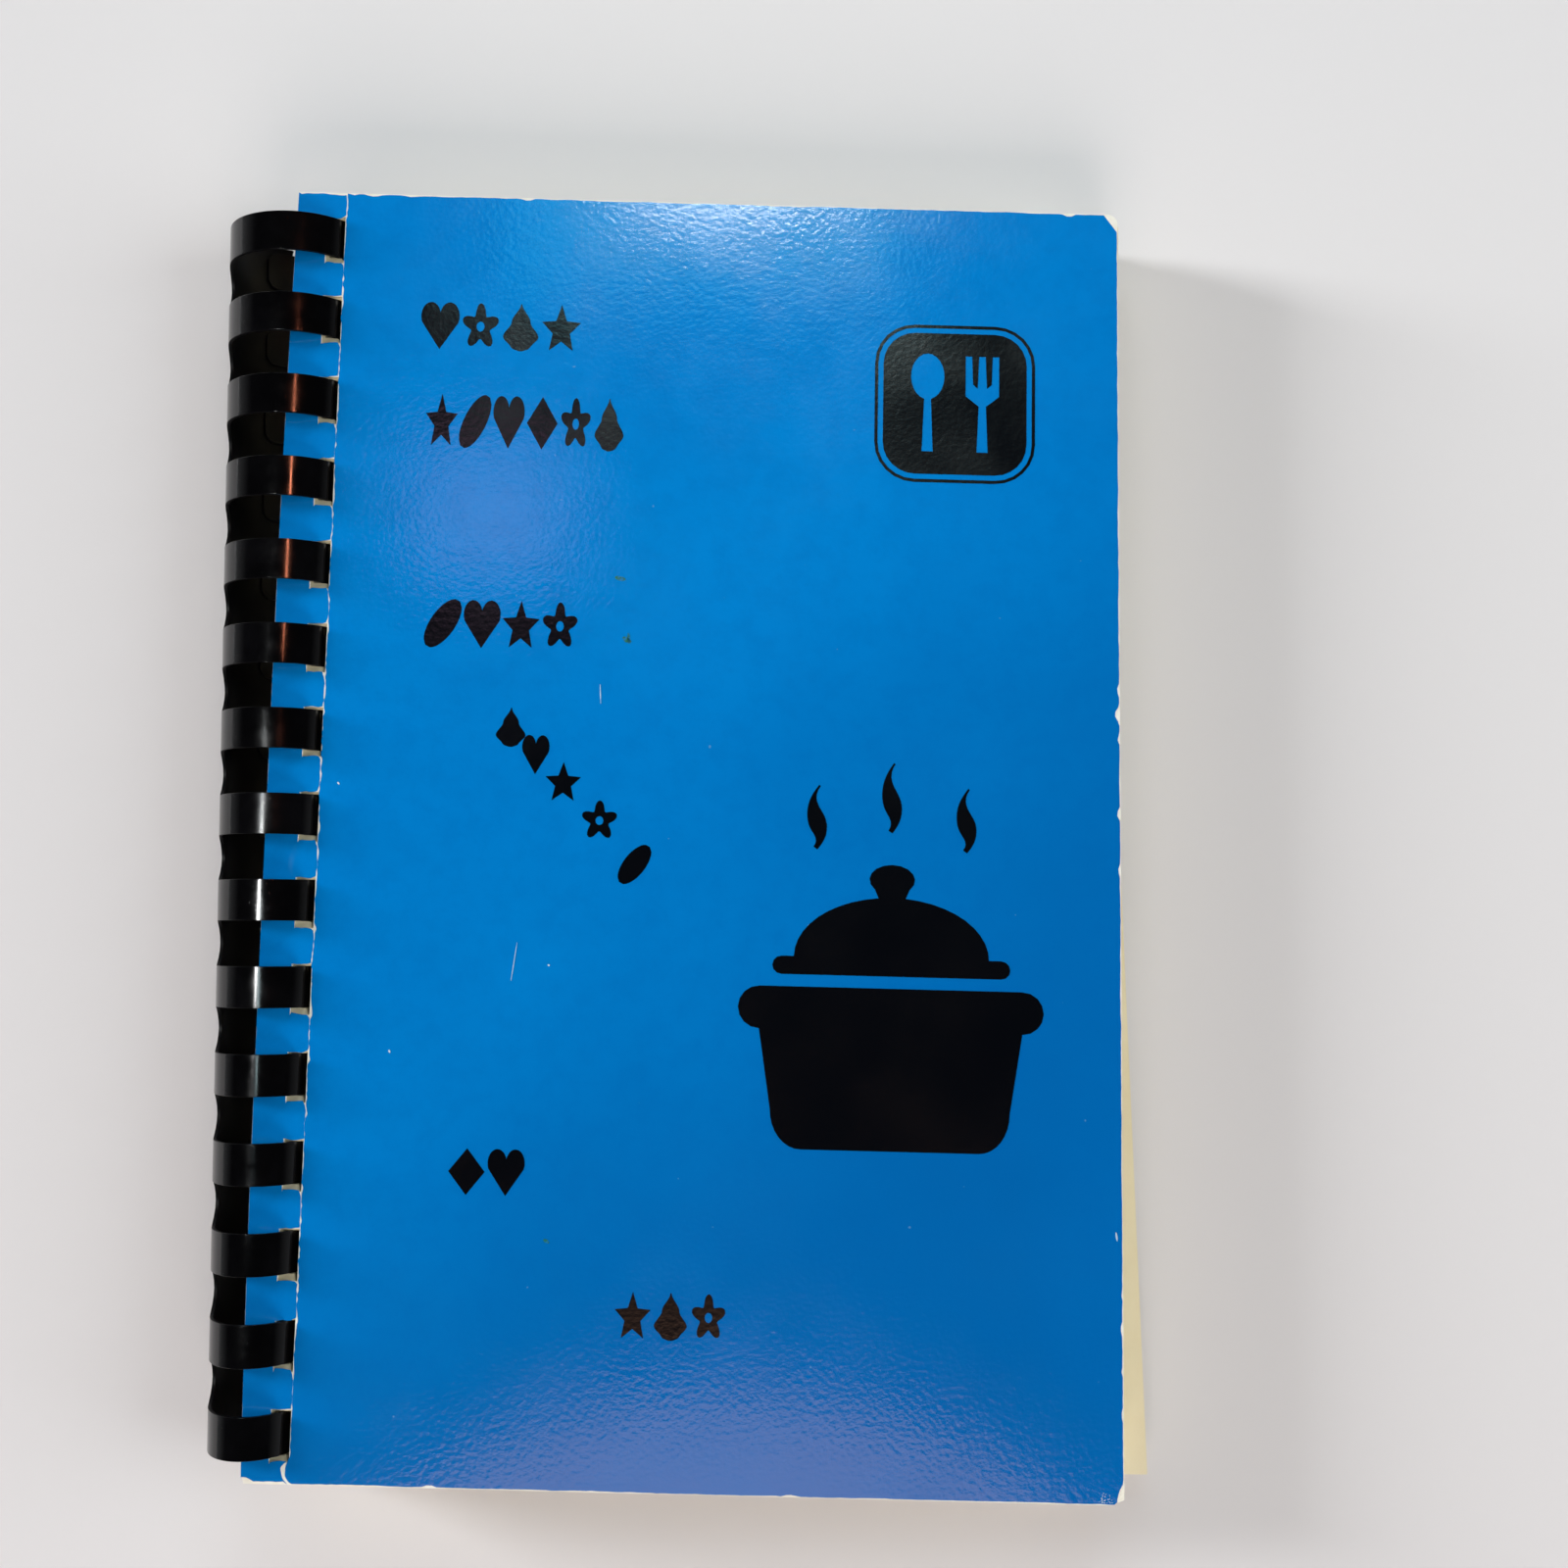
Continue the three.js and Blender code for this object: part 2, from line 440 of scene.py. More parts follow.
ROOT_HALF_WIDTH = 4.7 * MM
ROOT_SWEEP_DEG = 14
SCALLOP_DEG = 5
FINGER_COLUMNS = 8
GAP_COLUMNS = 4
ARC_STEP_DEG = 5
COMB_END_MARGIN = 4.6 * MM
COMB_END_RISE_DEG = 2
TIP_ROUND_DEG = 12
TIP_END_SHARE = 0.55
EDGE_ROUNDING = 0.12 * MM
EDGE_ANGLE_DEG = 50


def finger_half_width(angle_deg):
    """Half the finger's width: flared at its root, round at its tip."""
    past_root = STRIP_START_DEG - angle_deg
    if past_root < ROOT_SWEEP_DEG:
        t = past_root / ROOT_SWEEP_DEG
        return FINGER_WIDTH / 2 + (ROOT_HALF_WIDTH - FINGER_WIDTH / 2) * (1 - t) ** 2
    to_tip = max(0, angle_deg - TIP_END_DEG) / TIP_ROUND_DEG
    if to_tip < 1:
        round_part = math.sqrt(max(0, 1 - (1 - to_tip) ** 2))
        return FINGER_WIDTH / 2 * (TIP_END_SHARE + (1 - TIP_END_SHARE) * round_part)
    return FINGER_WIDTH / 2


def finger_radius(angle_deg):
    """The middle of the wall: the tip steps inwards to lie under the strip."""
    t = min(1, max(0, (FINGER_END_DEG - angle_deg) / (FINGER_END_DEG - TIP_START_DEG)))
    tip_middle = TIP_RADIUS - TIP_WALL / 2
    return RING_MID_RADIUS + (tip_middle - RING_MID_RADIUS) * (3 * t * t - 2 * t**3)


def bridge(bm, row, next_row):
    """Faces between two rows of vertices."""
    for a, b, c, d in zip(row, row[1:], next_row[1:], next_row):
        bm.faces.new([a, b, c, d])


def add_finger(bm, centre):
    """One finger from the strip's edge to its tucked tip. Returns the row of vertices at its root."""
    rows = round((STRIP_START_DEG - TIP_END_DEG) / ARC_STEP_DEG)
    root = previous = None
    for i in range(rows + 1):
        angle = STRIP_START_DEG + (TIP_END_DEG - STRIP_START_DEG) * i / rows
        half = finger_half_width(angle)
        row = []
        for k in range(FINGER_COLUMNS + 1):
            y = centre + half * (2 * k / FINGER_COLUMNS - 1)
            row.append(bm.verts.new(comb_point(angle, y, finger_radius(angle))))
        if previous:
            bridge(bm, previous, row)
        else:
            root = row
        previous = row
    return root


def strip_edge(bm, centres, roots):
    """The strip's edge, scalloped between the fingers' roots: the y of each vertex, and the vertices."""
    end = (RING_COUNT - 1) / 2 * RING_PITCH + COMB_END_MARGIN
    ys, edge = [], []

    def add(y, angle):
        ys.append(y)
        edge.append(bm.verts.new(comb_point(angle, y, RING_MID_RADIUS)))

    add(-end, STRIP_START_DEG + COMB_END_RISE_DEG)
    for i, (centre, root) in enumerate(zip(centres, roots)):
        ys += [centre + ROOT_HALF_WIDTH * (2 * k / FINGER_COLUMNS - 1) for k in range(FINGER_COLUMNS + 1)]
        edge += root
        if i + 1 < len(centres):
            start, stop = centre + ROOT_HALF_WIDTH, centres[i + 1] - ROOT_HALF_WIDTH
            for k in range(1, GAP_COLUMNS):
                t = k / GAP_COLUMNS
                add(start + (stop - start) * t, STRIP_START_DEG + SCALLOP_DEG * (1 - (2 * t - 1) ** 2))
    add(end, STRIP_START_DEG + COMB_END_RISE_DEG)
    return ys, edge


def make_comb():
    """The spine strip and its fingers as one sheet, given its wall by a modifier."""
    bm = bmesh.new()
    centres = [ring_y(ring) for ring in reversed(range(RING_COUNT))]
    roots = [add_finger(bm, centre) for centre in centres]
    ys, previous = strip_edge(bm, centres, roots)
    low = STRIP_START_DEG + SCALLOP_DEG
    rows = round((STRIP_END_DEG - low) / ARC_STEP_DEG)
    for i in range(1, rows + 1):
        angle = low + (STRIP_END_DEG - low) * i / rows
        row = [bm.verts.new(comb_point(angle, y, RING_MID_RADIUS)) for y in ys]
        bridge(bm, previous, row)
        previous = row
    comb = new_object("comb_visual", bm, COMB_INSIDE)
    comb.data.materials.append(COMB)
    comb.data.shade_smooth()
    wall = comb.modifiers.new("wall", "SOLIDIFY")
    wall.thickness = COMB_WALL
    wall.offset = 0
    wall.material_offset = 1
    round_edges = comb.modifiers.new("round_edges", "BEVEL")
    round_edges.width = EDGE_ROUNDING
    round_edges.segments = 2
    round_edges.limit_method = "ANGLE"
    round_edges.angle_limit = math.radians(EDGE_ANGLE_DEG)
    round_edges.harden_normals = True
    return comb


comb = make_comb()
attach(comb, "comb")
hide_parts("comb")


# ---------------------------------------------------------------- covers

# Places on a sheet are u from its spine edge and v from its tail edge.
HOLE_MIDDLE = 6.2 * MM
HOLE_LEFT = 4.75 * MM
HOLE_RIGHT = 8.0 * MM
BACK_HOLE_LEFT = 3.9 * MM
BACK_HOLE_RIGHT = 8.0 * MM
HOLE_HALF = 4.2 * MM
HOLE_SLIP = -0.45 * MM
HOLE_STEP = 0.6 * MM
HOLE_ROUGH = 0.08 * MM
CRACK = 8.05 * MM
CRACK_MARGIN = 0.5 * MM
FILM_SINK = 0.02 * MM
FILM_RISE = 0.03 * MM
COVER_SLIP = 0.1 * MM

# The turn of the sheets' head and tail edges from the X axis, in radians.
TRIM_TURN = -0.02252


def sheet_place(height, slip=0.0, width=RING_SPREAD, taper=RING_TAPER):
    """Returns place(u, v, level): u from the spine edge, v from the tail edge, level above the comb's axis.

    The sheet's row of holes follows a comb of this width and taper. Its head and tail edges lie along the
    block's one trimming cut.
    """
    middle = ring_s(height) * width
    row = math.atan(ring_s(height) * taper)

    def place(u, v, level):
        du, dv = u - HOLE_MIDDLE, v - SHEET_HEIGHT / 2
        s = middle + du * math.cos(TRIM_TURN) + dv * math.sin(row)
        return block_point(s, slip + du * math.sin(TRIM_TURN) + dv * math.cos(row), level)

    return place


def hole_v(ring):
    """The middle of a cover's hole, from the tail edge."""
    return SHEET_HEIGHT / 2 + ring_y(ring) + HOLE_SLIP


def hole_outline(ring, left, right, seed):
    """A punched hole with slightly worn sides."""
    low, high = hole_v(ring) - HOLE_HALF, hole_v(ring) + HOLE_HALF
    corners = [(left, low), (right, low), (right, high), (left, high)]
    outline = []
    for i, start in enumerate(corners):
        outline += ragged(start, corners[(i + 1) % 4], seed + i, HOLE_STEP, 0, HOLE_ROUGH)
    return outline


class Blank:
    """A cover's cut shape: its four corners, and how far its spine edge bows outwards halfway."""

    def __init__(self, tail_spine, tail_fore, head_fore, head_spine, bow):
        self.corners = [Vector(c) for c in (tail_spine, tail_fore, head_fore, head_spine)]
        self.bow = bow

    def spine_edge(self, start, end, seed, step, inset, rough):
        """Points down the spine edge from the v of start to the v of end."""
        tail, head = self.corners[0], self.corners[3]
        points = ragged((0, start), (0, end), seed, step, inset, rough)
        for p in points:
            t = p.y / SHEET_HEIGHT
            p.x += tail.x + (head.x - tail.x) * t - self.bow * (1 - abs(2 * t - 1) ** 3)
        return points

    def outline(self, seed):
        """The whole outer line, counter-clockwise, with its corners cut or rounded."""
        tail_spine, tail_fore, head_fore, head_spine = self.corners
        cut_u, cut_v = Vector((CORNER_CUT, 0)), Vector((0, CORNER_CUT))
        style = (OUTLINE_STEP, 0, OUTLINE_ROUGH)
        points = ragged(tail_spine + cut_u / 2, tail_fore - cut_u, seed, *style)
        points += ragged(tail_fore + cut_v, head_fore - 2 * cut_v, seed + 11, *style)
        points += arc_points(head_fore - 2 * cut_u - 2 * cut_v, 2 * CORNER_CUT, 10, 80, 4)
        points += ragged(head_fore - 2 * cut_u, head_spine, seed + 23, *style)
        points += self.spine_edge(head_spine.y, CORNER_CUT, seed + 37, *style)
        return points

    def panel(self, seed, nicks):
        """The film's main part, between the crack and the fore-edge."""
        _, tail_fore, head_fore, _ = self.corners
        style = (PANEL_STEP, EDGE_WEAR, WEAR_ROUGH)
        left = CRACK + CRACK_MARGIN
        fore_start = tail_fore + Vector((0, EDGE_WEAR))
        fore_end = head_fore - Vector((0, PANEL_CHAMFER))
        head_start = head_fore - Vector((PANEL_CHAMFER, 0))
        points = ragged((left, 0), tail_fore, seed, *style, nicks["tail"])
        points += ragged(fore_start, fore_end, seed + 1, *style, nicks["fore"])
        points += ragged(head_start, (left, SHEET_HEIGHT), seed + 2, *style, nicks["head"])
        points += crack_line(SHEET_HEIGHT - EDGE_WEAR, EDGE_WEAR, 1)
        return points

    def margin(self, seed, hole_left):
        """The film between the crack and the spine edge, notched by the holes."""
        left = hole_left - RIM
        right = CRACK - CRACK_MARGIN
        tail_left = (self.corners[0].x + EDGE_WEAR, 0)
        head_left = (self.corners[3].x + EDGE_WEAR, SHEET_HEIGHT)
        top = SHEET_HEIGHT - EDGE_WEAR
        points = ragged(tail_left, (right, 0), seed, MARGIN_STEP, EDGE_WEAR, TAIL_ROUGH, [TAIL_CORNER_NICK])
        v = EDGE_WEAR
        for ring in reversed(range(RING_COUNT)):
            low, high = hole_v(ring) - HOLE_HALF - RIM, hole_v(ring) + HOLE_HALF + RIM
            points += crack_line(v, low, -1)
            points += ragged((right, low), (left, low), seed + ring + 40, RIM_STEP, 0, -RIM_ROUGH)
            points += ragged((left, low), (left, high), seed + ring + 80, HOLE_STEP, 0, -RIM_ROUGH / 3)
            points += ragged((left, high), (right, high), seed + ring + 120, RIM_STEP, 0, -RIM_ROUGH)
            v = high
        points += crack_line(v, top, -1)
        points += ragged((right, SHEET_HEIGHT), head_left, seed + 18, MARGIN_STEP, EDGE_WEAR, HEAD_ROUGH)
        points += self.spine_edge(top, EDGE_WEAR, seed + 19, PANEL_STEP, SPINE_WEAR, SPINE_ROUGH)
        return points


# Wear of the outer edges and of the film's rim round the holes, then the crack and the tear at its tail.
OUTLINE_STEP = 1.2 * MM
OUTLINE_ROUGH = 0.05 * MM
CORNER_CUT = 0.9 * MM
PANEL_STEP = 0.8 * MM
PANEL_CHAMFER = 2.4 * MM
EDGE_WEAR = 0.1 * MM
WEAR_ROUGH = 0.2 * MM
MARGIN_STEP = 0.4 * MM
TAIL_ROUGH = 0.5 * MM
HEAD_ROUGH = 0.8 * MM
SPINE_WEAR = 0.02 * MM
SPINE_ROUGH = 0.07 * MM
TAIL_CORNER_NICK = nick(0.2, 1.8, 0.75)
RIM = 0.13 * MM
RIM_STEP = 0.35 * MM
RIM_ROUGH = 0.7 * MM
CRACK_STEP = 0.3 * MM
CRACK_WANDER = 0.26 * MM
CRACK_WIDTH = 0.2 * MM
CRACK_WAVE = 3.1 * MM
CRACK_SHORT_WAVE = 0.9 * MM
CRACK_LONG_WAVE = 7 * MM
FLAKE_REACH = 1.3 * MM
FLAKE_DEPTH = 0.3 * MM
FLAKE_WAVE = 0.8 * MM
TEAR_TOP = 4.4 * MM
TEAR_SWING = 1.1 * MM
TEAR_WIDTH = 0.5 * MM


def crack_line(start, end, side):
    """One side of the fold's crack, between two places v. side is 1 towards the fore-edge, else -1.

    The film has flaked at the corners of the holes. Below the last hole the cover has torn through, and the
    crack swings to the spine side and opens.
    """
    count = max(1, round(abs(end - start) / CRACK_STEP))
    points = []
    for i in range(count):
        v = start + (end - start) * i / count
        middle = CRACK + CRACK_WANDER * (jitter(v, CRACK_WAVE, 5) + 0.5 * jitter(v, CRACK_SHORT_WAVE, 6))
        breaks = 0.3 + 2.6 * jitter(v, CRACK_SHORT_WAVE, 7 + side) + jitter(v, CRACK_LONG_WAVE, 4)
        half = CRACK_WIDTH / 2 * max(0.1, breaks)
        if side < 0:
            near_hole = max(0, 1 - min(abs(v - start), abs(end - v)) / FLAKE_REACH)
            half += FLAKE_DEPTH * near_hole * max(0, 0.3 + 1.5 * jitter(v, FLAKE_WAVE, 12))
        tear = max(0, 1 - v / TEAR_TOP)
        middle -= TEAR_SWING * math.sin(math.pi * tear) * (tear > 0)
        half += TEAR_WIDTH / 2 * min(1, 4 * tear)
        points.append(Vector((middle + side * half, v)))
    return points


def make_cover(name, height, outside, blank, place, seed, nicks, hole_left, hole_right):
    """A card with a film on its outer face. outside is 1 for the front cover and -1 for the back cover."""
    half = COVER_THICKNESS / 2
    surface = height + outside * half
    card_face = surface - outside * FILM_RISE
    holes = [hole_outline(i, hole_left, hole_right, seed + 5 * i) for i in range(RING_COUNT)]
    card_levels = sorted((height - outside * half, card_face))
    card = plate_object(name + "_card", [(blank.outline(seed), holes, *card_levels, place)], CARD)
    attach(card, name)
    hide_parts(name)
    levels = sorted((card_face - outside * FILM_SINK, surface))
    outlines = [blank.panel(seed + 60, nicks), blank.margin(seed + 200, hole_left)]
    film = plate_object(name + "_film", [(outline, [], *levels, place) for outline in outlines], FILM)
    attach(film, name)


def mm_points(*points):
    """Vectors in metres from pairs in millimetres."""
    return [Vector(p) * MM for p in points]


FRONT_BLANK = Blank(*mm_points((0.33, 0), (142.4, 0), (141.7, 215.9), (-0.33, 215.9)), 0.8 * MM)
BACK_BLANK = Blank(*mm_points((0.6, 0), (139.7, 0), (139.7, 215.9), (0.2, 215.9)), 0)

FRONT_NICKS = {
    "tail": [nick(22, 1.2, 0.3), nick(80, 1.5, 0.25), nick(133.5, 0.7, 1.2)],
    "fore": [nick(0.4, 2.9, 1.0), nick(14, 0.7, 0.25), nick(21, 0.6, 0.2), nick(27.5, 1.2, 0.25),
             nick(33, 0.7, 0.2), nick(102, 0.8, 0.3), nick(111.4, 1, 0.5), nick(124, 0.9, 0.35),
             nick(128.2, 1.4, 0.7), nick(132.4, 0.8, 0.35)],
    "head": [nick(6, 1.1, 0.4), nick(100, 1.2, 0.3), nick(120, 1.5, 0.2), nick(126.5, 1.6, 0.35),
             nick(130, 0.9, 0.2)],
}
BACK_NICKS = {
    "tail": [nick(70, 1.5, 0.4)],
    "fore": [nick(1, 2, 0.9), nick(90, 1, 0.4)],
    "head": [nick(4, 1.4, 0.6)],
}

front_place = sheet_place(COVER_HEIGHT, COVER_SLIP)
back_place = sheet_place(-COVER_HEIGHT, width=1, taper=0)
make_cover("front_cover", COVER_HEIGHT, 1, FRONT_BLANK, front_place, 1, FRONT_NICKS, HOLE_LEFT, HOLE_RIGHT)
make_cover(
    "back_cover", -COVER_HEIGHT, -1, BACK_BLANK, back_place, 400, BACK_NICKS, BACK_HOLE_LEFT, BACK_HOLE_RIGHT,
)


# ---------------------------------------------------------------- artwork

INK_RISE = 0.03 * MM
INK_LEVELS = (COVER_TOP - FILM_SINK, COVER_TOP + INK_RISE)


def profile(points, count=24):
    """Widths along a path, from (place, width) pairs with smooth steps between them. Places run 0 to 1."""
    widths = []
    for i in range(count + 1):
        t = i / count
        for (t0, w0), (t1, w1) in zip(points, points[1:]):
            if t0 <= t <= t1:
                k = (t - t0) / (t1 - t0)
                widths.append(w0 + (w1 - w0) * (3 * k * k - 2 * k**3))
                break
    return widths


def straight(x0, y0, x1, y1, count=24):
    """Evenly spaced points on a line."""
    return [Vector((x0 + (x1 - x0) * i / count, y0 + (y1 - y0) * i / count)) for i in range(count + 1)]


def ellipse_widths(count=24):
    """Widths that make a straight stroke into an ellipse."""
    return [2 * math.sqrt(i / count * (1 - i / count)) for i in range(count + 1)]


def drop_shape():
    widths = profile([(0, 0.1), (0.06, 0.5), (0.3, 0.94), (0.62, 0.5), (1, 0.03)])
    return stroke(straight(0.5, 0, 0.5, 1), widths), []


def leaf_shape():
    widths = [0.62 * w for w in ellipse_widths()]
    return stroke(straight(0.04, 0.04, 0.96, 0.96), widths), []


def diamond_shape():
    return [Vector(p) for p in ((0.5, 0), (1, 0.5), (0.5, 1), (0, 0.5))], []


def star_shape():
    points = []
    for i in range(10):
        radius = 0.54 if i % 2 == 0 else 0.24
        a = math.radians(90 + 36 * i)
        points.append(Vector((0.5 + radius * math.cos(a), 0.47 + radius * math.sin(a))))
    return points, []


def heart_shape():
    lobe_right = arc_points((0.75, 0.7), (0.26, 0.3), -25, 165, 12)
    lobe_left = arc_points((0.25, 0.7), (0.26, 0.3), 15, 205, 12)
    return [Vector((0.5, 0)), *lobe_right, *lobe_left], []


def flower_shape():
    points = []
    for i in range(60):
        a = 2 * math.pi * i / 60
        radius = 0.38 + 0.12 * math.cos(5 * a)
        points.append(Vector((0.5 + radius * math.sin(-a), 0.5 + radius * math.cos(a))))
    return points, [arc_points((0.5, 0.5), 0.11, 0, 330, 11)]


def spoon_shape():
    """A spoon standing on its handle."""
    bowl = arc_points((0.5, 0.77), (0.36, 0.23), -78, 258, 22)
    return [Vector((0.38, 0.02)), Vector((0.62, 0.02)), *bowl], []


def fork_shape():
    """A fork standing on its handle, with three tines."""
    right = [(0.62, 0.02), (0.58, 0.48), (0.86, 0.58), (0.86, 0.98), (0.72, 0.98), (0.7, 0.7), (0.6, 0.66),
             (0.57, 0.98)]
    left = [(1 - x, y) for x, y in reversed(right)]
    return [Vector(p) for p in right + left], []


ORNAMENT_GAP = 0.5
SHAPES = {
    "drop": drop_shape,
    "leaf": leaf_shape,
    "diamond": diamond_shape,
    "star": star_shape,
    "heart": heart_shape,
    "flower": flower_shape,
}


def fitted(shape, u0, v0, u1, v1):
    """A shape drawn in a unit square, placed in a box of the cover."""
    def fit(loop):
        return [Vector((u0 + p.x * (u1 - u0), v0 + p.y * (v1 - v0))) for p in loop]

    outline, holes = shape
    return fit(outline), [fit(hole) for hole in holes]


def picture_row(u0, v0, u1, v1, names):
    """Small ornaments in a row, in a box given in millimetres."""
    width = (u1 - u0 - ORNAMENT_GAP * (len(names) - 1)) / len(names)
    row = []
    for i, name in enumerate(names):
        left = u0 + i * (width + ORNAMENT_GAP)
        row.append(fitted(SHAPES[name](), left * MM, v0 * MM, (left + width) * MM, v1 * MM))
    return row


PICTURE_ROWS = [
    (21.8, 188.5, 49.1, 196.8, ["heart", "flower", "drop", "star"]),
    (23.3, 171.3, 57.2, 180.5, ["star", "leaf", "heart", "diamond", "flower", "drop"]),
    (24.4, 136.7, 50.3, 144.9, ["leaf", "heart", "star", "flower"]),
    (36.9, 120.1, 42.2, 126.7, ["drop"]),
    (41.6, 115.6, 46.1, 122.2, ["heart"]),
    (45.7, 111.1, 51.5, 117.7, ["star"]),
    (51.8, 104.7, 57.9, 111.5, ["flower"]),
    (58.2, 97.7, 63.6, 104.2, ["leaf"]),
    (31.8, 46.3, 44.2, 53.8, ["diamond", "heart"]),
    (59.7, 24.0, 77.7, 31.5, ["star", "drop", "flower"]),
]


def add_ink(name, shapes, material=INK):
    """Thin plates that stand a little over the front cover's film."""
    plates = [(outline, holes, *INK_LEVELS, front_place) for outline, holes in shapes]
    ink = plate_object(name, plates, material)
    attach(ink, "front_cover")


def pot():
    """A cooking pot with a lid, seen from its side."""
    body = [
        *arc_points((0.21, 0.13), (0.1, 0.13), 180, 270, 8),
        *arc_points((0.79, 0.13), (0.1, 0.13), 270, 360, 8),
        *arc_points((0.93, 0.46), (0.07, 0.07), -90, 90, 8),
        *arc_points((0.07, 0.46), (0.07, 0.07), 90, 270, 8),
    ]
    lid = [
        *arc_points((0.86, 0.6), (0.03, 0.03), -90, 90, 6),
        *arc_points((0.5, 0.63), (0.32, 0.2), 0, 82, 10),
        *arc_points((0.5, 0.89), (0.075, 0.05), -40, 220, 12),
        *arc_points((0.5, 0.63), (0.32, 0.2), 98, 180, 10),
        *arc_points((0.14, 0.6), (0.03, 0.03), 90, 270, 6),
    ]
    return [fitted((part, []), 78.6 * MM, 55 * MM, 129.2 * MM, 105 * MM) for part in (body, lid)]


def steam():
    """Three rising curls over the pot."""
    curls = []
    swing = 2.6
    for u, v, height in ((91, 104.5, 10.5), (103.5, 107.5, 11.5), (116, 104.5, 10.5)):
        points = [(u, v), (u + swing, v + 0.3 * height), (u - swing, v + 0.6 * height), (u + 0.6, v + height)]
        path = bezier(*mm_points(*points), count=18)
        widths = [w * MM for w in profile([(0, 0.8), (0.45, 3.0), (1, 0.3)], len(path) - 1)]
        curls.append((stroke(path, widths), []))
    return curls


def badge():
    """A rounded square with a spoon and a fork left bare in it, and a thin frame."""
    u0, v0, u1, v1 = (101.4 * MM, 168.9 * MM, 126.0 * MM, 193.7 * MM)
    spoon = fitted(spoon_shape(), u0 + 3.6 * MM, v0 + 3.6 * MM, u0 + 11.6 * MM, v1 - 3.6 * MM)
    fork = fitted(fork_shape(), u0 + 13 * MM, v0 + 3.6 * MM, u0 + 21 * MM, v1 - 3.6 * MM)
    field = (rounded_box(u0, v0, u1, v1, 5.5 * MM), [spoon[0], fork[0]])
    gap, line = 0.9 * MM, 0.55 * MM
    inner = rounded_box(u0 - gap, v0 - gap, u1 + gap, v1 + gap, 6.3 * MM)
    outer = rounded_box(u0 - gap - line, v0 - gap - line, u1 + gap + line, v1 + gap + line, 6.9 * MM)
    return [field, (outer, [inner])]


MARK_STEPS = 8
MARK_END_SHARE = 0.35

# The specks in the scuffed corner, in millimetres on the cover.
SPECKS = 34
SPECK_SEED = 9
SPECK_MIDDLE = 139.5
SPECK_SPREAD = (-1.5, 1.4)
SPECK_LOW = 0.35
SPECK_RISE = 1.5
SPECK_LENGTHS = (0.06, 0.2)
SPECK_WIDTHS = (0.08, 0.16)


def mark(u0, v0, u1, v1, width):
    """A thin mark from one place to another, tapered to both ends, given in millimetres."""
    path = straight(u0 * MM, v0 * MM, u1 * MM, v1 * MM, MARK_STEPS)
    swell = [math.sin(math.pi * i / MARK_STEPS) for i in range(MARK_STEPS + 1)]
    widths = [width * MM * (MARK_END_SHARE + (1 - MARK_END_SHARE) * s) for s in swell]
    return stroke(path, widths), []


def scuffed_corner():
    """Fine specks where the film is scuffed, by the chipped corner. They are densest at the tail edge."""
    draw = random.Random(SPECK_SEED)
    specks = []
    for _ in range(SPECKS):
        v = SPECK_LOW + SPECK_RISE * draw.random() ** 1.6
        u = SPECK_MIDDLE + draw.uniform(*SPECK_SPREAD) * (1 - 0.35 * v)
        angle = draw.uniform(0, math.pi)
        length = draw.uniform(*SPECK_LENGTHS)
        end = (u + length * math.cos(angle), v + length * math.sin(angle))
        specks.append(mark(u, v, *end, draw.uniform(*SPECK_WIDTHS)))
    return specks


# Each mark is u0, v0, u1, v1 and width, in millimetres.
SCRATCHES = [
    (54.3, 131.1, 54.5, 127.8, 0.16),
    (41.8, 87.5, 41.0, 81.2, 0.14),
    (21.3, 69.4, 21.5, 68.9, 0.3),
    (47.0, 84.0, 47.3, 83.8, 0.3),
    (10.9, 113.4, 11.2, 113.0, 0.25),
    (141.1, 43.0, 141.3, 41.6, 0.3),
]
STAINS = [
    (56.3, 149.5, 58.1, 149.1, 0.8),
    (57.9, 139.2, 59.3, 138.4, 0.9),
    (58.8, 140.0, 59.0, 138.2, 0.5),
    (47.7, 39.5, 48.6, 39.0, 0.6),
]

add_ink("cover_ornaments", [shape for row in PICTURE_ROWS for shape in picture_row(*row)])
add_ink("cover_badge", badge())
add_ink("cover_pot", pot())
add_ink("cover_steam", steam())
add_ink("cover_scratches", [mark(*scratch) for scratch in SCRATCHES] + scuffed_corner(), SCUFF)
add_ink("cover_stains", [mark(*stain) for stain in STAINS], STAIN)


# ---------------------------------------------------------------- leaves

# The first pack's holes are torn towards the tail, on the side of the fore-edge. The others are hidden.
SHEETS_PER_PACK = 5
SHEET_THICKNESS = 0.1 * MM
SHEET_STEP = 0.128 * MM
LEAF_HOLE_LEFT = 4.5 * MM
LEAF_HOLE_RIGHT = 8.4 * MM
LEAF_HOLE_HALF = 3.45 * MM
LEAF_TEAR_LEFT = 6.9 * MM
LEAF_TEAR_DEPTH = 1.4 * MM
INNER_HOLE_LEFT = 3.4 * MM
INNER_HOLE_RIGHT = 9.2 * MM
INNER_HOLE_RADIUS = 0.3 * MM
LEAF_TRIM = 0.2 * MM
LEAF_SLIP_U = 0.25 * MM
LEAF_SLIP_V = 0.3 * MM
FIRST_ASKEW_PACK = 16
ASKEW_TAIL = 7.1 * MM
ASKEW_HEAD = -2.8 * MM
ASKEW_RISE = 1.5 * MM
BLOCK_TOP = BLOCK_HALF_THICKNESS + PACK_GAP / 2
PACK_STEP = 2 * BLOCK_TOP / PACK_COUNT


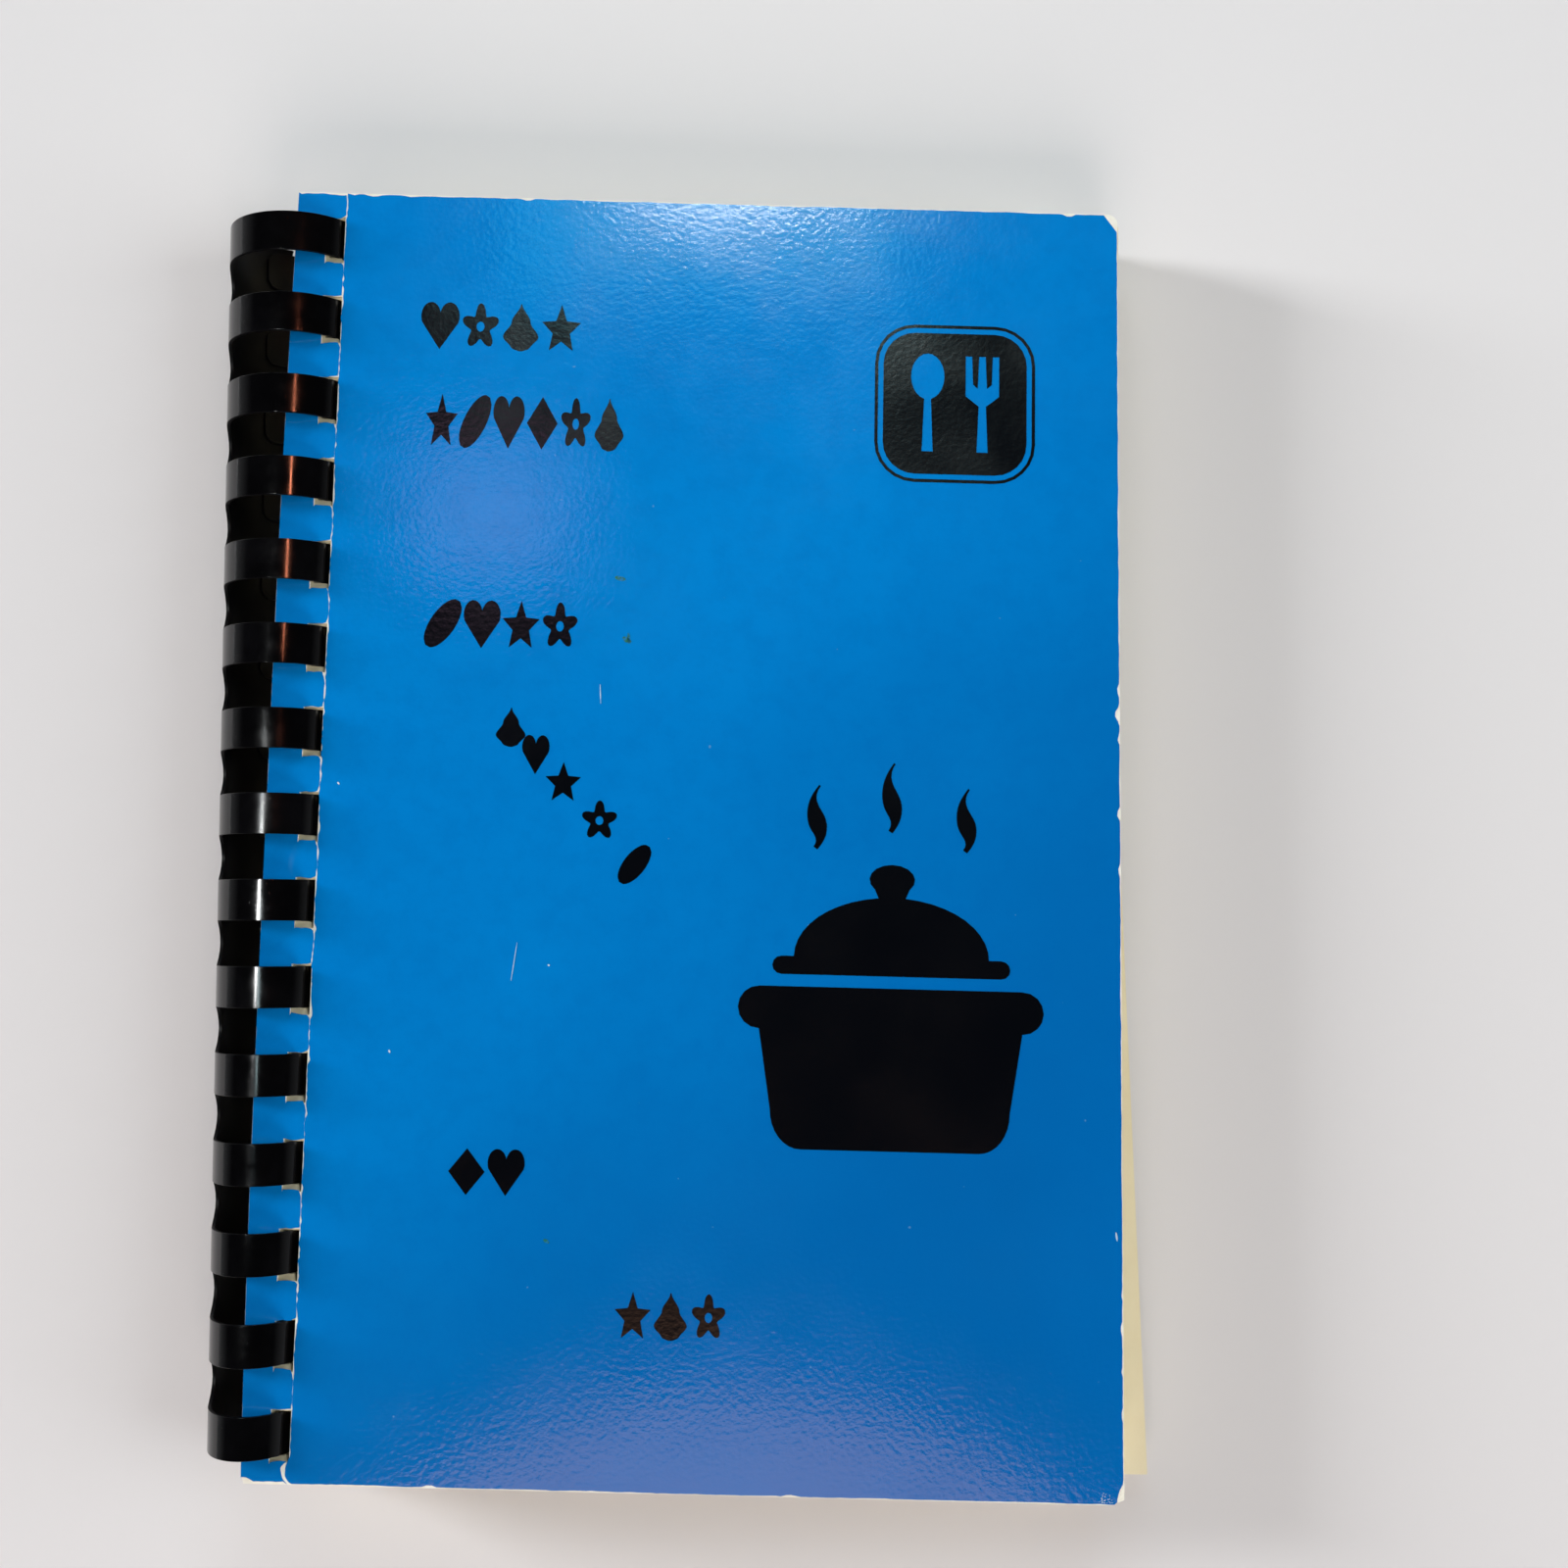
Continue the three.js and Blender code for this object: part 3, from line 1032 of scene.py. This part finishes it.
def leaf_outline(pack, seed):
    """A leaf's four corners. The last packs were trimmed askew."""
    tail, head, rise = (ASKEW_TAIL, ASKEW_HEAD, ASKEW_RISE) if pack >= FIRST_ASKEW_PACK else (0, 0, 0)
    right = SHEET_WIDTH + LEAF_SLIP_U * jitter(seed, 1, 3)
    slip = LEAF_SLIP_V * jitter(seed, 1, 9)
    low, high = slip + LEAF_TRIM, SHEET_HEIGHT + slip - LEAF_TRIM
    return [
        Vector((LEAF_TRIM, low)),
        Vector((right + tail, low + rise)),
        Vector((right + head, high)),
        Vector((LEAF_TRIM, high)),
    ]


def leaf_hole(pack, v):
    """A leaf's hole, torn longer towards the tail. The first pack keeps more paper at the spine side."""
    low, high = v - LEAF_HOLE_HALF, v + LEAF_HOLE_HALF
    torn = low - LEAF_TEAR_DEPTH
    if pack > 1:
        return rounded_box(INNER_HOLE_LEFT, torn, INNER_HOLE_RIGHT, high, INNER_HOLE_RADIUS)
    return [
        Vector((LEAF_HOLE_LEFT, low)),
        Vector((LEAF_TEAR_LEFT - 0.2 * MM, low - 0.1 * MM)),
        Vector((LEAF_TEAR_LEFT, low - 0.4 * MM)),
        Vector((LEAF_TEAR_LEFT + 0.15 * MM, torn)),
        Vector((LEAF_HOLE_RIGHT, torn)),
        Vector((LEAF_HOLE_RIGHT, high)),
        Vector((LEAF_HOLE_LEFT, high)),
    ]


def make_pack(index):
    """The single leaves of one pack, counted from the front cover."""
    middle = BLOCK_TOP - PACK_STEP * (index - 0.5)
    place = sheet_place(middle)
    holes = [leaf_hole(index, SHEET_HEIGHT / 2 + ring_y(ring)) for ring in range(RING_COUNT)]
    plates = []
    for k in range(SHEETS_PER_PACK):
        level = middle + (k - (SHEETS_PER_PACK - 1) / 2) * SHEET_STEP
        outline = leaf_outline(index, index * SHEETS_PER_PACK + k + 0.37)
        plates.append((outline, holes, level - SHEET_THICKNESS / 2, level + SHEET_THICKNESS / 2, place))
    node = f"leaf_pack_{index:02d}"
    pack = plate_object(node + "_sheets", plates, PAPER)
    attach(pack, node)
    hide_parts(node)


for number in range(1, PACK_COUNT + 1):
    make_pack(number)


# ---------------------------------------------------------------- floor, light and camera

FLOOR_HALF_SIZE = 5
WALL_COLOR = (0.95, 0.97, 1.0, 1.0)

# The walls' brightness, from near the horizon to higher up.
WALL_FADE = {"From Min": 0.02, "From Max": 0.45, "To Min": 0.32, "To Max": 0.01}

# The camera's place over the middle of the cover, and its turn from looking straight down on it.
CAMERA_PLACE = Vector((13.574, -17.392, 261.49)) * MM
CAMERA_TURN_DEG = (5.350, -0.341, 1.513)
CAMERA_LENS = 36
CAMERA_SENSOR = 36


def add_floor():
    bm = bmesh.new()
    bmesh.ops.create_grid(bm, x_segments=2, y_segments=2, size=FLOOR_HALF_SIZE)
    floor = new_object("floor", bm, floor_material())


def add_light(
    name, size, energy, tint, location, seen_by, target=None, spin=0, shape="RECTANGLE", only=(), never=(),
):
    """seen_by is "diffuse" for a light that only fills, or "glossy" for one that only shows as a reflection.

    It points straight down without a target. only and never name the pieces it lights or leaves out.
    """
    data = bpy.data.lights.new(name, "AREA")
    data.shape = shape
    data.size, data.size_y = size
    data.energy = energy
    data.color = tint
    light = bpy.data.objects.new(name, data)
    light.location = location
    if target:
        light.rotation_euler = (Vector(target) - Vector(location)).to_track_quat("-Z", "Y").to_euler()
    else:
        light.rotation_euler.z = math.radians(spin)
    light.visible_glossy = seen_by != "diffuse"
    light.visible_diffuse = seen_by != "glossy"
    light.visible_camera = False
    bpy.context.scene.collection.objects.link(light)
    if only or never:
        receivers = bpy.data.collections.new(name + "_receivers")
        for piece in [*only, *never]:
            receivers.objects.link(piece)
        for entry in receivers.collection_objects:
            entry.light_linking.link_state = "INCLUDE" if only else "EXCLUDE"
        light.light_linking.receiver_collection = receivers


def add_world():
    """A dark room whose walls are pale near the horizon."""
    world = bpy.data.worlds.new("studio")
    world.use_nodes = True
    nodes, links = world.node_tree.nodes, world.node_tree.links
    background = nodes["Background"]
    background.inputs["Color"].default_value = WALL_COLOR
    direction = nodes.new("ShaderNodeSeparateXYZ")
    links.new(nodes.new("ShaderNodeTexCoord").outputs["Generated"], direction.inputs["Vector"])
    fade = nodes.new("ShaderNodeMapRange")
    for key, value in WALL_FADE.items():
        fade.inputs[key].default_value = value
    links.new(direction.outputs["Z"], fade.inputs["Value"])
    links.new(fade.outputs["Result"], background.inputs["Strength"])
    bpy.context.scene.world = world


def add_camera():
    """Over the cover, a little towards the tail and the fore-edge, as in the photo."""
    tail_spine, tail_fore, head_fore, head_spine = FRONT_BLANK.corners
    centre = (tail_spine + tail_fore + head_fore + head_spine) / 4
    origin = front_place(*centre, COVER_TOP)
    across = (front_place(centre.x + SHEET_WIDTH / 2, centre.y, COVER_TOP) - origin).normalized()
    normal = Vector((math.sin(LEAN), 0, math.cos(LEAN)))
    cover_frame = Matrix((across, normal.cross(across), normal)).transposed().to_4x4()
    cover_frame.translation = origin
    turn = Euler([math.radians(a) for a in CAMERA_TURN_DEG], "XYZ").to_matrix().to_4x4()
    data = bpy.data.cameras.new("camera")
    data.sensor_width = CAMERA_SENSOR
    data.lens = CAMERA_LENS
    data.clip_start = 0.01
    camera = bpy.data.objects.new("camera", data)
    camera.matrix_world = cover_frame @ Matrix.Translation(CAMERA_PLACE) @ turn
    bpy.context.scene.collection.objects.link(camera)
    bpy.context.scene.camera = camera


MIDDLE = (0, 0, 0)
WHITE = (1, 1, 1)
WARM = (1, 0.86, 0.78)
COOL = (0.94, 0.99, 1)

add_floor()

# Soft boxes that light the book and the floor.
add_light("left_lamp", (0.5, 0.8), 70, WHITE, (-2.2, 0.6, 0.6), "diffuse", MIDDLE)
add_light("right_box", (1.0, 1.2), 18, COOL, (1.5, -0.1, 0.8), "diffuse", MIDDLE)
add_light("head_box", (1.2, 0.8), 9.5, COOL, (0.0, 1.5, 0.85), "diffuse", MIDDLE)
add_light("tail_box", (1.2, 0.8), 20, WARM, (0.0, -1.5, 0.85), "diffuse", MIDDLE)

# Lights that show only as reflections, in the covers' film and on the comb.
add_light("head_glare", (0.21, 0.3), 3.4, (0.72, 0.97, 1), (0, 0.76, 1), "glossy", never=[comb])
add_light("head_core", (0.17, 0.12), 3.0, (1, 0.98, 0.86), (0.01, 0.66, 1), "glossy", never=[comb])
add_light("head_halo", (0.32, 0.5), 1.2, (0.1, 0.8, 1), (-0.02, 0.75, 1), "glossy", never=[comb])
add_light("violet_patch", (0.12, 0.11), 0.06, (1, 0.6, 0.9), (-0.192, 0.32, 1), "glossy", never=[comb])
add_light(
    "warm_disc", (0.83, 0.83), 4.2, (1, 0.55, 0.35), (0.004, -0.79, 1), "glossy", shape="DISK", never=[comb],
)
add_light("orange_streak", (0.025, 0.2), 0.9, (1, 0.3, 0.16), (0.135, 0.31, 1), "glossy", only=[comb])
add_light(
    "white_streak", (0.32, 0.02), 0.5, (0.7, 0.95, 1), (-0.27, -0.03, 1), "glossy", spin=-41, only=[comb],
)
add_light("white_glint", (0.055, 0.11), 3.2, WHITE, (-0.337, 0.0, 1), "glossy", only=[comb])

add_world()
add_camera()
bpy.context.scene.view_settings.view_transform = "Standard"
